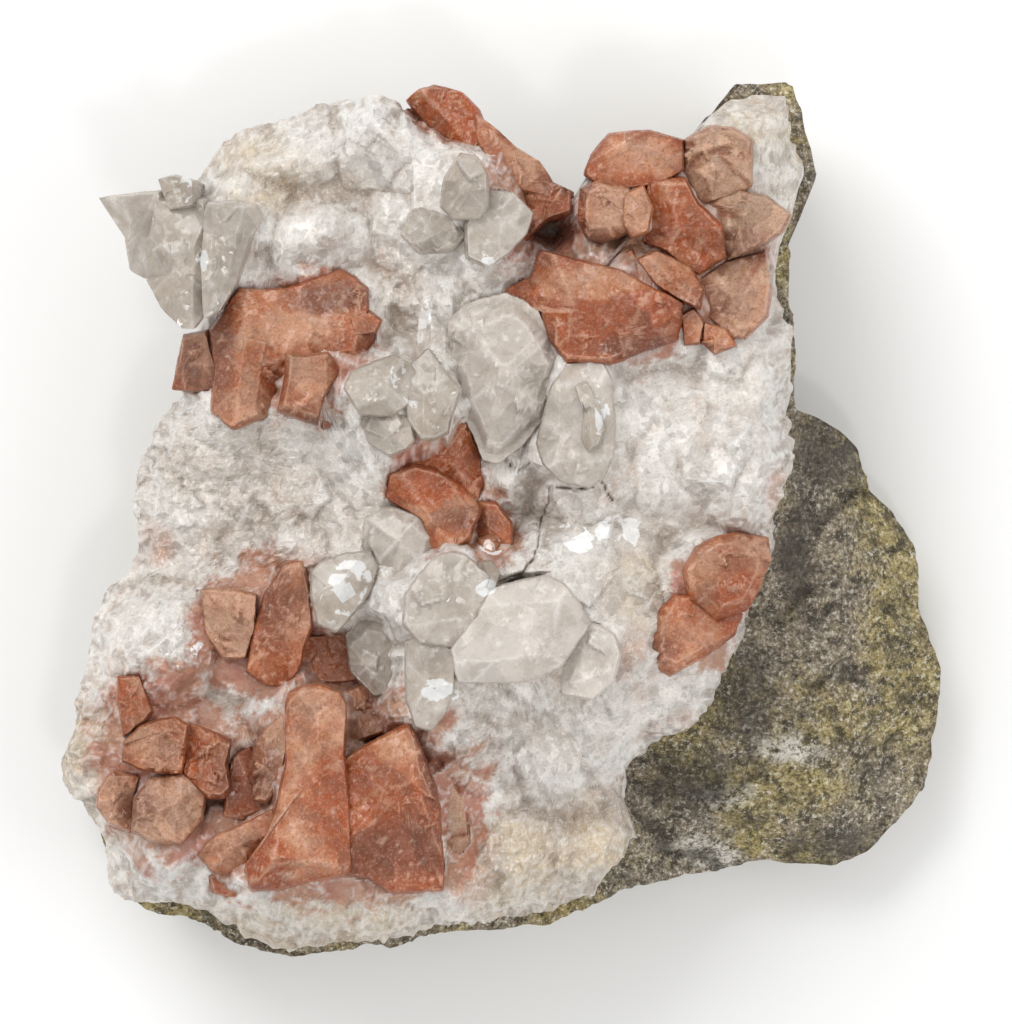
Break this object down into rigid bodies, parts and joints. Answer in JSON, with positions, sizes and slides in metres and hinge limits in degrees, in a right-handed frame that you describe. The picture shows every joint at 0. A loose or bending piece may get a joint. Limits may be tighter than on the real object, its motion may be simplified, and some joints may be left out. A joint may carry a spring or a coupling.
{
  "type": "mineral specimen",
  "caption": "Mineral specimen: salmon chabazite and clear to milky analcime crystals on a white zeolite crust over basalt, lying on its flat back.",
  "frame": {"origin": "middle of the outline, on the surface that the specimen's flat back rests on", "axes": "+Z out of the crystal face, away from the resting face; +X to the right and +Y to the top of the crystal face as the picture shows it"},
  "size_m": [0.0995, 0.0996, 0.0478],
  "materials": {
    "basalt": "matte",
    "milky_crust": "satin",
    "analcime": "gloss",
    "chabazite": "gloss"
  },
  "bodies": {
    "root": {"basalt_matrix": "basalt", "white_crust": "milky_crust", "analcime_left_spray": "analcime", "analcime_top_trio": "analcime", "analcime_star": "analcime", "analcime_globe": "analcime", "analcime_ridge": "analcime", "analcime_shelf": "analcime", "analcime_heart": "analcime", "chabazite_corner_cubes": "chabazite", "chabazite_saddle": "chabazite", "chabazite_top_ridge": "chabazite", "chabazite_upper_pocket": "chabazite", "chabazite_column_group": "chabazite", "chabazite_left_patch": "chabazite", "chabazite_middle_left": "chabazite", "chabazite_right_patch": "chabazite"}
  },
  "joints": []
}
